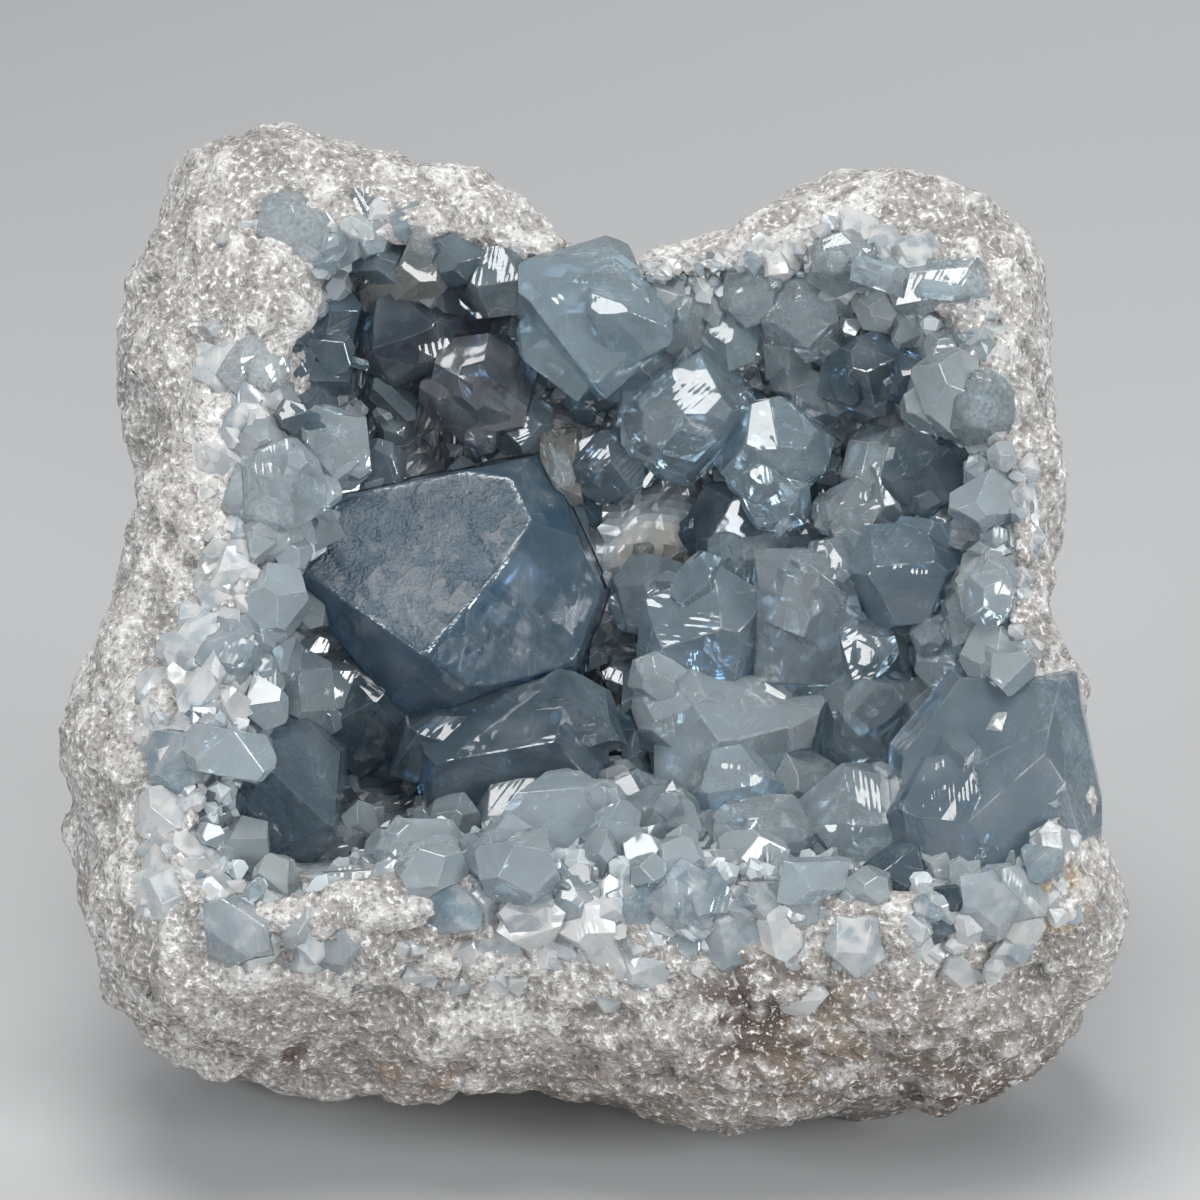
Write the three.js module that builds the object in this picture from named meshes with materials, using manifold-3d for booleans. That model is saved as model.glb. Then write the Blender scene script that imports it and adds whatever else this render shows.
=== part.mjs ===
// A celestite geode: a pale nodule of host rock, broken open at the front, with a hollow that is
// lined by one crust of blue celestite crystals grown together.
//
// Everything is shaped in the frame of the opening and then turned to the world:
//   across = to the right, up = up the face of the geode, out = out of the hollow to the front.
// World: millimetres, +Z up, the hollow opens to -Y and is tipped up by OPENING_TILT.

import * as THREE from 'three';
import { ConvexGeometry } from 'three/addons/geometries/ConvexGeometry.js';
import { mergeVertices } from 'three/addons/utils/BufferGeometryUtils.js';
import Module from 'manifold-3d';

// ---- driving dimensions, millimetres and degrees -------------------------------------------

const OPENING_TILT = 20;
const FLAT_SPOT_DEPTH = 6;
const FIT_GAP = 0.32;

// Radius of the nodule round its outline, every 10 degrees, counted from the right and upwards.
// The two tall ears are near 45 and 130 degrees.
const OUTLINE_RADII = [
  84, 88, 92, 101, 108, 107, 99, 77, 72, 68, 77, 93, 109, 121, 115, 105, 95, 88,
  93, 102, 103, 110, 113, 113, 96, 94, 89, 89, 95, 97, 107, 113, 118, 112, 96, 89,
];

// Radius of the hollow's mouth at the same angles.
const MOUTH_RADII = [
  76, 79, 81, 81, 88, 84, 78, 71, 66, 66, 69, 76, 84, 84, 80, 69, 61, 62,
  65, 68, 75, 84, 80, 63, 54, 50, 48, 47, 49, 52, 56, 64, 78, 90, 88, 82,
];

const MOUTH_OUT = 12;
const MOUTH_SLOPE = 0.4;
const LIP_SHOULDER = 0.8;
const LIP_DROP = 4;
const BACK_OUT = -78;
const BACK_ROUNDING = 0.8;
const BASE_ROUNDING = 0.42;
const HOLLOW_ROUNDING = 0.86;
const WALL_STEEPNESS = { upper: 0.75, lower: 1.25 };

// Where the path from the middle of the floor to the middle of the back turns at the mouth and
// at the outline, as parts of its length.
const MOUTH_AT = 0.22;
const OUTLINE_AT = 0.42;

const RIND_DETAIL = 11;

// The hollow's wall and the two faces of the crust on it: edge = beyond the mouth's radius,
// drop = of the edge below the mouth, floor = place of its middle.
const ROCK_BOWL = { edge: 0, drop: 0, floor: -46 };
const CRUST_BOWL = { edge: -4, drop: 4, floor: -35 };
const ROOT_BOWL = { edge: 7, drop: 4, floor: -54 };
const CRUST_TURNS = 24;
const CRUST_RINGS = [0, 0.4, 0.75, 1];
const CRUST_ROUGHNESS = 1.6;

// Lumps of the rock: wavelength and height of each train of waves.
const ROCK_LUMPS = [[62, 1.7], [37, 1.5], [21, 1.0], [12, 0.6]];

const ROCK_COLOUR = 0xc9c8c6;
const CRYSTAL_COLOUR = 0x7d95a8;

// Celestite is orthorhombic; its axes in angstroms give the true angles between its faces.
const CELL = [8.359, 5.352, 6.866];

// Each habit gives the distance of its faces from the middle, as parts of the crystal's size; each
// face then grows a little more or less than that, by a factor within FACE_GROWTH.
const FACE_GROWTH = [0.93, 1.07];
const HABITS = {
  block: { '001': 0.76, '101': 0.9, '011': 0.86, '210': 0.9 },
  rhomb: { '001': 0.72, '101': 1.25, '011': 0.84, '210': 0.82 },
  plate: { '001': 0.5, '101': 0.86, '011': 0.82, '210': 0.92 },
  octa: { '001': 0.95, '101': 0.76, '011': 0.74, '210': 1.0 },
  prism: { '001': 0.5, '011': 0.5, '101': 1.2, '210': 0.86 },
  point: { '011': 0.72, '101': 0.98, '210': 0.56 },
  grain: { '001': 0.8, '011': 0.8, '210': 0.76 },
};

// The largest crystals, face by face. at = across, up; rise = how far the middle stands out of the
// crust; faces = [heading, tilt, distance]: the way a face looks, counted from the right and
// upwards, its tilt from straight out, and its distance from the middle.
const LARGE_CRYSTALS = [
  {
    name: 'giant', at: [-27.6, 5.5], rise: 17, size: 28,
    faces: [[97, 30, 11.5], [-140, 55, 20], [-12, 38, 14.5], [-72, 68, 21], [42, 62, 21.5], [101, 86, 22],
      [22, 84, 26], [-18, 84, 26.5], [180, 80, 28], [142, 80, 27], [-140, 92, 21.5], [0, 180, 24]],
  },
  {
    name: 'rim plate', at: [-1.1, 57], rise: 14, size: 14,
    faces: [[-100, 10, 9], [-50, 55, 12.6], [120, 45, 12.5], [90, 72, 12.3], [180, 88, 13.6], [45, 75, 12.3],
      [0, 85, 13], [-50, 90, 13.4], [-136, 85, 8.4], [0, 180, 11], [90, 130, 9]],
  },
  {
    name: 'clear bipyramid', at: [16.3, 39], rise: 13, size: 11,
    faces: [[90, 35, 8.5], [-90, 35, 8.5], [180, 78, 10], [38, 72, 9.8], [-30, 76, 9.4], [125, 76, 9.4],
      [-150, 76, 8.6], [-110, 80, 10.2], [-50, 80, 8.9], [0, 180, 12]],
  },
  {
    name: 'blue block', at: [-15.3, -24], rise: 14, size: 17,
    faces: [[100, 42, 10.5], [-80, 32, 11], [20, 58, 14], [105, 82, 12.3], [58, 84, 17], [0, 88, 17.6],
      [-90, 88, 16], [180, 82, 18], [135, 84, 14.5], [0, 180, 14]],
  },
  {
    name: 'milky block', at: [26.3, -23.3], rise: 12, size: 14.5,
    faces: [[80, 45, 10], [170, 45, 12], [-60, 35, 10.5], [92, 85, 13.2], [45, 80, 14.6], [0, 85, 15.6],
      [180, 88, 15.5], [-90, 88, 14.5], [0, 180, 13]],
  },
  {
    name: 'right wedge', at: [74, -28], rise: 12, size: 18,
    faces: [[112, 30, 12.5], [-30, 42, 14], [-160, 50, 15], [95, 80, 17.5], [0, 86, 18], [-40, 85, 18],
      [-100, 86, 19], [180, 86, 19], [140, 80, 17], [0, 180, 14], [10, 130, 14], [-50, 130, 15]],
  },
  {
    name: 'left prism', at: [-58.8, -31.8], rise: 10, size: 13,
    faces: [[20, 25, 8.5], [170, 50, 8.5], [80, 50, 12.5], [-80, 45, 11.5], [92, 86, 16], [45, 84, 13.4],
      [0, 86, 11.3], [-45, 86, 14], [180, 88, 9], [-90, 86, 15], [0, 180, 13]],
  },
  {
    name: 'striated block', at: [37.6, 2.3], rise: 15, size: 12,
    faces: [[92, 62, 11], [-60, 28, 9], [-160, 50, 8.5], [30, 60, 10.5], [-10, 86, 12], [180, 86, 7.8],
      [-90, 84, 14], [90, 88, 11.6], [0, 180, 12]],
  },
];

// Further crystals by their habit. size = of the habit's faces; lean = direction and tilt of the
// broad face's normal from straight out; turn = about that normal.
const MAIN_CRYSTALS = [
  { at: [33.8, 32.5], rise: 9, size: 10.5, lean: [-60, 30], turn: 15, habit: 'block' },
  { at: [38.6, 59], rise: 6, size: 8, lean: [-90, 25], turn: 50, habit: 'block' },
  { at: [29, 62.8], rise: 5, size: 7, lean: [120, 30], turn: 20, habit: 'block' },
  { at: [25, 54], rise: 5, size: 6.5, lean: [10, 50], turn: 70, habit: 'block' },
  { at: [15.9, 58], rise: 8, size: 7, lean: [90, 85], turn: 0, habit: 'point' },
  { at: [-56.9, 74], rise: 0, size: 7.5, lean: [-40, 30], turn: 30, habit: 'block' },
  { at: [-43.7, 77.5], rise: 0, size: 5.5, lean: [85, 80], turn: 10, habit: 'point' },
  { at: [-36, 54], rise: 6, size: 9.5, lean: [-70, 40], turn: 25, habit: 'block' },
  { at: [-34, 67.5], rise: 5, size: 7.5, lean: [60, 50], turn: 45, habit: 'plate' },
  { at: [-21, 44.8], rise: 8, size: 11, lean: [20, 45], turn: 65, habit: 'block' },
  { at: [-52, 47], rise: 5, size: 7, lean: [80, 75], turn: 20, habit: 'prism' },
  { at: [-64.4, 46.7], rise: 1, size: 7, lean: [-20, 35], turn: 0, habit: 'block' },
  { at: [-49.3, 32.5], rise: 12, size: 8, lean: [60, 25], turn: 40, habit: 'block' },
  { at: [-57.8, 25], rise: 7, size: 8.5, lean: [150, 35], turn: 75, habit: 'block' },
  { at: [-43.7, -16.6], rise: 5, size: 11.5, lean: [-80, 35], turn: 30, habit: 'block' },
  { at: [-50, -41], rise: 5, size: 6.5, lean: [100, 40], turn: 10, habit: 'block' },
  { at: [-72, -37], rise: 3, size: 4.5, lean: [-30, 30], turn: 50, habit: 'block' },
  { at: [21.5, -1.5], rise: 13, size: 12.5, lean: [150, 30], turn: 20, habit: 'block' },
  { at: [24.4, 9.8], rise: 12, size: 7, lean: [85, 78], turn: 35, habit: 'point' },
  { at: [58.4, 9], rise: 9, size: 11.5, lean: [95, 45], turn: 5, habit: 'block' },
  { at: [51.8, -17.6], rise: 6, size: 11, lean: [-70, 25], turn: 40, habit: 'plate' },
  { at: [72.6, 0.5], rise: 5, size: 9, lean: [170, 45], turn: 15, habit: 'block' },
  { at: [49.9, 20], rise: 7, size: 7.5, lean: [90, 20], turn: 60, habit: 'block' },
  { at: [63, 28.7], rise: 6, size: 9, lean: [-120, 35], turn: 30, habit: 'block' },
  { at: [75.5, 17], rise: 4, size: 7, lean: [85, 70], turn: 10, habit: 'prism' },
  { at: [70.7, 40], rise: 4, size: 7, lean: [-150, 40], turn: 55, habit: 'block' },
  { at: [63, -39], rise: 10, size: 6, lean: [-80, 35], turn: 20, habit: 'block' },
  { at: [-6.8, -41], rise: 7, size: 11, lean: [85, 30], turn: 5, habit: 'plate' },
  { at: [12, -39], rise: 8, size: 7.5, lean: [-90, 20], turn: 60, habit: 'block' },
  { at: [34, -40], rise: 6, size: 7, lean: [40, 40], turn: 30, habit: 'block' },
  { at: [49, -39.7], rise: 7, size: 10, lean: [80, 35], turn: 75, habit: 'block' },
  { at: [3.6, -30.8], rise: 10, size: 5, lean: [-45, 40], turn: 15, habit: 'block' },
  { at: [59, -50], rise: 0, size: 10, lean: [100, 55], turn: 35, habit: 'plate' },
  { at: [51.8, 46.7], rise: 6, size: 9, lean: [-35, 35], turn: 20, habit: 'block' },
  { at: [60, 45.7], rise: 6, size: 6.5, lean: [70, 70], turn: 50, habit: 'block' },
  { at: [46, 67.5], rise: 3, size: 6.5, lean: [-70, 45], turn: 25, habit: 'block' },
  { at: [64, 63], rise: 3, size: 9, lean: [-80, 60], turn: 5, habit: 'prism' },
  { at: [-6.8, 29.7], rise: 8, size: 7, lean: [5, 85], turn: 85, habit: 'prism' },
  { at: [2.6, 29.7], rise: 7, size: 7.5, lean: [-100, 40], turn: 30, habit: 'block' },
  { at: [25, 17.4], rise: 4, size: 9, lean: [150, 50], turn: 60, habit: 'block' },
];

// Small crystals that fill the gaps between the main ones. One that stands nearer to the middle of
// a main crystal than SWALLOWED_WITHIN of that crystal's size isn't made.
const SMALL_CRYSTALS = 92;
const SMALL_SIZE = [3, 6.5];
const SMALL_RISE = [1, 2];
const SMALL_TILT = [15, 70];
const SMALL_HABITS = ['grain', 'grain', 'point'];
const SWALLOWED_WITHIN = 0.85;

const SEEDS = { lumps: 41, lining: 5, crystals: 7 };

// ---- small helpers -----------------------------------------------------------------------------

const wasm = await Module();
wasm.setup();

function seededRandom(seed) {
  let state = seed;
  return () => {
    state = (state * 16807) % 2147483647;
    return state / 2147483647;
  };
}

function between([low, high], part) {
  return THREE.MathUtils.lerp(low, high, part);
}

// Smooth value at an angle in degrees, through a closed ring of evenly spaced values.
function roundTheRing(values, angle) {
  const place = ((angle % 360) + 360) % 360 / 360 * values.length;
  const first = Math.floor(place);
  const part = place - first;
  const [a, b, c, d] = [-1, 0, 1, 2].map((step) => values[(first + step + values.length) % values.length]);
  const curve = 2 * b + (c - a) * part + (2 * a - 5 * b + 4 * c - d) * part ** 2;
  return 0.5 * (curve + (3 * b - a - 3 * c + d) * part ** 3);
}

function solidFrom(geometry) {
  const bare = new THREE.BufferGeometry();
  bare.setAttribute('position', geometry.getAttribute('position').clone());
  if (geometry.index) bare.setIndex(geometry.index.clone());
  const merged = mergeVertices(bare, 1e-3);
  const mesh = new wasm.Mesh({
    numProp: 3,
    vertProperties: new Float32Array(merged.getAttribute('position').array),
    triVerts: new Uint32Array(merged.index.array),
  });
  return new wasm.Manifold(mesh).asOriginal();
}

function geometryFrom(solid) {
  const mesh = solid.getMesh();
  const geometry = new THREE.BufferGeometry();
  geometry.setAttribute('position', new THREE.Float32BufferAttribute(mesh.vertProperties, 3));
  geometry.setIndex([...mesh.triVerts]);
  return geometry;
}

function largestPiece(solid) {
  return solid.decompose().reduce((best, piece) => (piece.volume() > best.volume() ? piece : best));
}

function moveVertices(geometry, place) {
  const position = geometry.getAttribute('position');
  const vertex = new THREE.Vector3();
  for (let i = 0; i < position.count; i += 1) {
    vertex.fromBufferAttribute(position, i);
    place(vertex, i);
    position.setXYZ(i, vertex.x, vertex.y, vertex.z);
  }
  return geometry;
}

// ---- host rock ---------------------------------------------------------------------------------

// Slow trains of waves in many directions stand for the lumps of the broken rock.
const lumpWaves = (() => {
  const random = seededRandom(SEEDS.lumps);
  return ROCK_LUMPS.flatMap(([length, height]) => Array.from({ length: 4 }, () => {
    const azimuth = random() * 2 * Math.PI;
    const rise = random() * 2 - 1;
    const flat = Math.sqrt(1 - rise * rise);
    const along = new THREE.Vector3(flat * Math.cos(azimuth), flat * Math.sin(azimuth), rise);
    const wavelength = length * between([0.8, 1.2], random());
    const phase = random() * 2 * Math.PI;
    return { along: along.multiplyScalar(2 * Math.PI / wavelength), phase, height };
  }));
})();

function lumpHeight(point) {
  const heightOf = ({ along, phase, height }) => 0.5 * height * Math.sin(along.dot(point) + phase);
  return lumpWaves.reduce((sum, wave) => sum + heightOf(wave), 0);
}

// A point of a bowl in the hollow: part runs from 0 in the middle of its floor to 1 at its edge.
function bowlPoint(angle, part, { edge, drop, floor }) {
  const arc = part * Math.PI / 2;
  const turn = THREE.MathUtils.degToRad(angle);
  const radius = (roundTheRing(MOUTH_RADII, angle) + edge) * Math.sin(arc) ** HOLLOW_ROUNDING;
  const crest = mouthOut(angle) - drop;
  const out = crest - (crest - floor) * Math.max(0, Math.cos(arc)) ** wallSteepness(angle);
  return new THREE.Vector3(radius * Math.cos(turn), radius * Math.sin(turn), out);
}

// The hollow's upper wall falls steeply to its floor; the lower wall is a gentle slope.
function wallSteepness(angle) {
  const height = Math.sin(THREE.MathUtils.degToRad(angle));
  return THREE.MathUtils.lerp(WALL_STEEPNESS.lower, WALL_STEEPNESS.upper, (height + 1) / 2);
}

function mouthOut(angle) {
  const up = roundTheRing(MOUTH_RADII, angle) * Math.sin(THREE.MathUtils.degToRad(angle));
  return MOUTH_OUT - MOUTH_SLOPE * up;
}

// A point of the rock's surface. path runs from 0 in the middle of the hollow's floor, over the
// mouth and the outline, to 1 in the middle of the back.
function rindPoint(angle, path) {
  const outline = roundTheRing(OUTLINE_RADII, angle);
  const mouth = roundTheRing(MOUTH_RADII, angle);
  const crest = mouthOut(angle);
  const shoulder = crest - LIP_SHOULDER * (outline - mouth) - LIP_DROP;
  if (path < MOUTH_AT) return bowlPoint(angle, path / MOUTH_AT, ROCK_BOWL);
  let radius;
  let out;
  if (path < OUTLINE_AT) {
    const arc = (path - MOUTH_AT) / (OUTLINE_AT - MOUTH_AT) * Math.PI / 2;
    radius = mouth + (outline - mouth) * Math.sin(arc);
    out = shoulder + (crest - shoulder) * Math.cos(arc);
  } else {
    const arc = (path - OUTLINE_AT) / (1 - OUTLINE_AT) * Math.PI / 2;
    const down = Math.max(0, -Math.sin(THREE.MathUtils.degToRad(angle)));
    const rounding = THREE.MathUtils.lerp(BACK_ROUNDING, BASE_ROUNDING, down);
    radius = outline * Math.max(0, Math.cos(arc)) ** rounding;
    out = shoulder + (BACK_OUT - shoulder) * Math.sin(arc) ** rounding;
  }
  const turn = THREE.MathUtils.degToRad(angle);
  return new THREE.Vector3(radius * Math.cos(turn), radius * Math.sin(turn), out);
}

function rindGeometry(swell) {
  const geometry = mergeVertices(bareSphere(), 1e-5);
  moveVertices(geometry, (vertex) => {
    const angle = THREE.MathUtils.radToDeg(Math.atan2(vertex.y, vertex.x));
    const path = Math.acos(THREE.MathUtils.clamp(vertex.z, -1, 1)) / Math.PI;
    vertex.copy(rindPoint(angle, path));
  });
  geometry.computeVertexNormals();
  const normals = geometry.getAttribute('normal').clone();
  geometry.deleteAttribute('normal');
  const normal = new THREE.Vector3();
  return moveVertices(geometry, (vertex, i) => {
    normal.fromBufferAttribute(normals, i);
    vertex.addScaledVector(normal, lumpHeight(vertex) + swell);
  });
}

function bareSphere() {
  const sphere = new THREE.IcosahedronGeometry(1, RIND_DETAIL);
  sphere.deleteAttribute('normal');
  sphere.deleteAttribute('uv');
  return sphere;
}

// ---- crust of crystals ---------------------------------------------------------------------------

// How far out the crust's own surface lies at a place across and up the hollow.
function crustOut(across, up) {
  const angle = THREE.MathUtils.radToDeg(Math.atan2(up, across));
  const mouth = roundTheRing(MOUTH_RADII, angle);
  const reach = Math.min(1, Math.hypot(across, up) / mouth);
  const part = Math.asin(reach ** (1 / HOLLOW_ROUNDING)) / (Math.PI / 2);
  return bowlPoint(angle, part, CRUST_BOWL).z;
}

// A bowl-shaped shell on the hollow's wall. Its root reaches into the rock and is cut to fit it.
function liningGeometry() {
  const face = CRUST_RINGS.map((part) => new THREE.Vector2(part, 1));
  const root = CRUST_RINGS.map((part) => new THREE.Vector2(part, 0)).reverse();
  const bowl = new THREE.LatheGeometry([...face, ...root], CRUST_TURNS);
  bowl.deleteAttribute('normal');
  bowl.deleteAttribute('uv');
  const random = seededRandom(SEEDS.lining);
  const shell = mergeVertices(bowl, 1e-4);
  return moveVertices(shell, (vertex) => {
    const part = Math.min(1, Math.hypot(vertex.x, vertex.z));
    const angle = THREE.MathUtils.radToDeg(Math.atan2(vertex.z, vertex.x));
    const isFace = vertex.y > 0.5;
    vertex.copy(bowlPoint(angle, part, isFace ? CRUST_BOWL : ROOT_BOWL));
    if (isFace) vertex.z += CRUST_ROUGHNESS * (random() * 2 - 1);
  });
}

// Unit normals of all faces of one crystal form, such as the four faces of {210}.
function formNormals(form) {
  const indices = [...form].map((digit, axis) => Number(digit) / CELL[axis]);
  const normals = [];
  for (let mask = 0; mask < 8; mask += 1) {
    const signs = [0, 1, 2].map((axis) => ((mask >> axis) & 1 ? -1 : 1));
    const isRepeat = indices.some((value, axis) => value === 0 && signs[axis] < 0);
    if (!isRepeat) {
      normals.push(new THREE.Vector3(...indices.map((value, axis) => value * signs[axis])).normalize());
    }
  }
  return normals;
}

// Corners of the space inside all of a crystal's faces.
function crystalCorners(faces) {
  const corners = [];
  const cross = (a, b) => new THREE.Vector3().crossVectors(a, b);
  faces.forEach((one, i) => faces.slice(i + 1).forEach((two, j) => {
    const edge = cross(one.normal, two.normal);
    faces.slice(i + j + 2).forEach((three) => {
      const volume = edge.dot(three.normal);
      if (Math.abs(volume) < 1e-6) return;
      const corner = cross(two.normal, three.normal).multiplyScalar(one.distance)
        .addScaledVector(cross(three.normal, one.normal), two.distance)
        .addScaledVector(edge, three.distance)
        .divideScalar(volume);
      if (faces.every((face) => face.normal.dot(corner) < face.distance + 1e-6)) corners.push(corner);
    });
  }));
  return corners;
}

function direction(heading, tilt) {
  const [turn, fall] = [heading, tilt].map(THREE.MathUtils.degToRad);
  return new THREE.Vector3(Math.sin(fall) * Math.cos(turn), Math.sin(fall) * Math.sin(turn), Math.cos(fall));
}

function largeCrystal({ at, rise, faces }) {
  const planes = faces.map(([heading, tilt, distance]) => ({ normal: direction(heading, tilt), distance }));
  const geometry = new ConvexGeometry(crystalCorners(planes));
  geometry.translate(at[0], at[1], crustOut(...at) + rise);
  return solidFrom(geometry);
}

function habitCrystal({ at, rise, out, size, lean, turn, habit }, random) {
  const faces = Object.entries(HABITS[habit]).flatMap(([form, part]) => formNormals(form)
    .map((normal) => ({ normal, distance: size * part * between(FACE_GROWTH, random()) })));
  const geometry = new ConvexGeometry(crystalCorners(faces));
  const [heading, tilt] = lean.map(THREE.MathUtils.degToRad);
  const pose = new THREE.Matrix4().makeRotationZ(heading)
    .multiply(new THREE.Matrix4().makeRotationY(tilt))
    .multiply(new THREE.Matrix4().makeRotationZ(THREE.MathUtils.degToRad(turn) - heading));
  geometry.applyMatrix4(pose);
  geometry.translate(at[0], at[1], out ?? crustOut(...at) + rise);
  return solidFrom(geometry);
}

function smallCrystals(random) {
  return Array.from({ length: SMALL_CRYSTALS }, () => {
    const seat = bowlPoint(random() * 360, Math.sqrt(random()), CRUST_BOWL);
    return {
      at: [seat.x, seat.y],
      out: seat.z + between(SMALL_RISE, random()),
      size: between(SMALL_SIZE, random() ** 2),
      lean: [random() * 360, between(SMALL_TILT, random())],
      turn: random() * 180,
      habit: SMALL_HABITS[Math.floor(random() * SMALL_HABITS.length)],
    };
  });
}

// True where a small crystal would be swallowed by one of the main ones.
function isSwallowed({ at }) {
  return [...LARGE_CRYSTALS, ...MAIN_CRYSTALS].some((other) => {
    const distance = Math.hypot(at[0] - other.at[0], at[1] - other.at[1]);
    return distance < SWALLOWED_WITHIN * other.size;
  });
}

// The lining and all crystals grown together, less the rock with the fit's gap round it.
function crustSolid() {
  const random = seededRandom(SEEDS.crystals);
  const small = smallCrystals(random).filter((crystal) => !isSwallowed(crystal));
  const byHabit = [...MAIN_CRYSTALS, ...small].map((crystal) => habitCrystal(crystal, random));
  const crystals = [...LARGE_CRYSTALS.map(largeCrystal), ...byHabit];
  const grown = wasm.Manifold.union([solidFrom(liningGeometry()), ...crystals]);
  return largestPiece(grown.subtract(solidFrom(rindGeometry(FIT_GAP))));
}

// ---- assembly ------------------------------------------------------------------------------------

// Turns a shape from the opening's frame to the world.
function toWorld(geometry) {
  const tilt = THREE.MathUtils.degToRad(OPENING_TILT);
  const across = new THREE.Vector3(1, 0, 0);
  const up = new THREE.Vector3(0, Math.sin(tilt), Math.cos(tilt));
  const out = new THREE.Vector3(0, -Math.cos(tilt), Math.sin(tilt));
  return geometry.applyMatrix4(new THREE.Matrix4().makeBasis(across, up, out));
}

// Grinds the flat spot that the geode rests on, and says how high it lies.
function standOnFlatSpot(rock) {
  rock.computeBoundingBox();
  const ground = rock.boundingBox.min.z + FLAT_SPOT_DEPTH;
  const reach = 2 * rock.boundingBox.max.length();
  const below = new THREE.BoxGeometry(2 * reach, 2 * reach, 2 * reach);
  below.translate(0, 0, ground - reach);
  return { ground, solid: solidFrom(rock).subtract(solidFrom(below)) };
}

function partMesh(name, geometry, shift, look) {
  const mesh = new THREE.Mesh(geometry.translate(...shift), new THREE.MeshStandardMaterial(look));
  mesh.name = name;
  return mesh;
}

// The parts are shifted so that the middle of their footprint is the origin, with the flat spot
// on the ground.
function celestiteGeode() {
  const { ground, solid } = standOnFlatSpot(toWorld(rindGeometry(0)));
  const matrix = geometryFrom(solid);
  const crust = toWorld(geometryFrom(crustSolid()));
  const whole = new THREE.Box3();
  [matrix, crust].forEach((geometry) => {
    geometry.computeBoundingBox();
    whole.union(geometry.boundingBox);
  });
  const shift = [-(whole.min.x + whole.max.x) / 2, -(whole.min.y + whole.max.y) / 2, -ground];
  const group = new THREE.Group();
  group.add(partMesh('matrix', matrix, shift, { color: ROCK_COLOUR, roughness: 0.95 }));
  group.add(partMesh('celestite_crust', crust, shift, { color: CRYSTAL_COLOUR, roughness: 0.15 }));
  return group;
}

export default celestiteGeode();
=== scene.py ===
import itertools
import math
import random

import bmesh
import bpy
import numpy as np
from mathutils import Euler, Matrix, Vector, noise


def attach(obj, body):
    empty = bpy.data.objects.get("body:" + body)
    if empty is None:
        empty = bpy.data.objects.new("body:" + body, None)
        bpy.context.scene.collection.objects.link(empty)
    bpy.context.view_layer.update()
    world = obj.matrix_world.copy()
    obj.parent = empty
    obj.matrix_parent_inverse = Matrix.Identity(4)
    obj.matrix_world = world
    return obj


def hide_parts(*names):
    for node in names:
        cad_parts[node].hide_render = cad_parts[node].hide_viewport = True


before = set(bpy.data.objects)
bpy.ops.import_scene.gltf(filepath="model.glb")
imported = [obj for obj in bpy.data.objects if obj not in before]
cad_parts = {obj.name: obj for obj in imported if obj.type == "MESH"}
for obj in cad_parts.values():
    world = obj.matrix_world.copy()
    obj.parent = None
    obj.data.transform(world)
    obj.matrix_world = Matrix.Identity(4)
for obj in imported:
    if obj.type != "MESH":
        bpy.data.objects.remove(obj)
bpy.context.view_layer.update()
scene = bpy.context.scene


# ---- host rock ---------------------------------------------------------------------------------
# A nodule of porous, pale limestone. Its outside is weathered and pitted; the rim round the hollow
# is a fresh break, coarse and sugary. Clay and iron left it brown-stained low down; painted shade
# darkens its underside, its pits and its hollows, and painted light whitens its crests.

MM = 0.001
OPENING_TILT = math.radians(20)
OPENING_CENTRE = (1.907, -20.304, 99.335)  # mm, the middle of the hollow's mouth
ROCK_QUADS = 128  # along each side of the six-sided grid

# Radii of the nodule and of the hollow's mouth in mm, every 10 degrees from the right, upwards.
OUTLINE_RADII = (
    84, 88, 92, 101, 108, 107, 99, 77, 72, 68, 77, 93, 109, 121, 115, 105, 95, 88,
    93, 102, 103, 110, 113, 113, 96, 94, 89, 89, 95, 97, 107, 113, 118, 112, 96, 89)
MOUTH_RADII = (
    76, 79, 81, 81, 88, 84, 78, 71, 66, 66, 69, 76, 84, 84, 80, 69, 61, 62,
    65, 68, 75, 84, 80, 63, 54, 50, 48, 47, 49, 52, 56, 64, 78, 90, 88, 82)
MOUTH_AT, OUTLINE_AT = 0.22, 0.42  # parts of the path from the hollow's floor to the back
BACK_OUT = -78  # mm, how far behind the opening the nodule's back lies
ROCK_BOWL = dict(edge=0, drop=0, floor=-46)
BOWL_POWER = 0.86  # below 1, the hollow's floor is broader than a ball's
ROCK_LUMPS = ((62, 1.7), (37, 1.5), (21, 1.0), (12, 0.6))  # mm, wavelengths and heights


def seeded(state):
    """A repeatable stream of numbers between 0 and 1."""
    prime = 2 ** 31 - 1
    while True:
        state = state * 16807 % prime
        yield state / prime


def round_the_ring(values, angle):
    """A smooth closed curve through values that stand evenly round a full turn."""
    values = np.asarray(values, float)
    place = np.mod(angle, 2 * np.pi) / (2 * np.pi) * len(values)
    first = np.floor(place).astype(int)
    part = place - first
    a, b, c, d = (values[(first + step) % len(values)] for step in (-1, 0, 1, 2))
    bend = (2 * a - 5 * b + 4 * c - d) * part ** 2 + (3 * b - a - 3 * c + d) * part ** 3
    return 0.5 * (2 * b + (c - a) * part + bend)


def mouth_out(angle):
    """How far out the hollow's mouth stands; its lower lip juts, its upper rim draws back."""
    return 12 - 0.4 * round_the_ring(MOUTH_RADII, angle) * np.sin(angle)


def bowl_point(angle, part, edge, drop, floor):
    """A point of the hollow's wall; part runs from 0, its floor's middle, to 1, its edge."""
    arc = part * np.pi / 2
    steepness = 1.25 - 0.5 * (np.sin(angle) + 1) / 2
    radius = (round_the_ring(MOUTH_RADII, angle) + edge) * np.sin(arc) ** BOWL_POWER
    crest = mouth_out(angle) - drop
    out = crest - (crest - floor) * np.maximum(np.cos(arc), 0) ** steepness
    return np.stack([radius * np.cos(angle), radius * np.sin(angle), out], -1)


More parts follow.
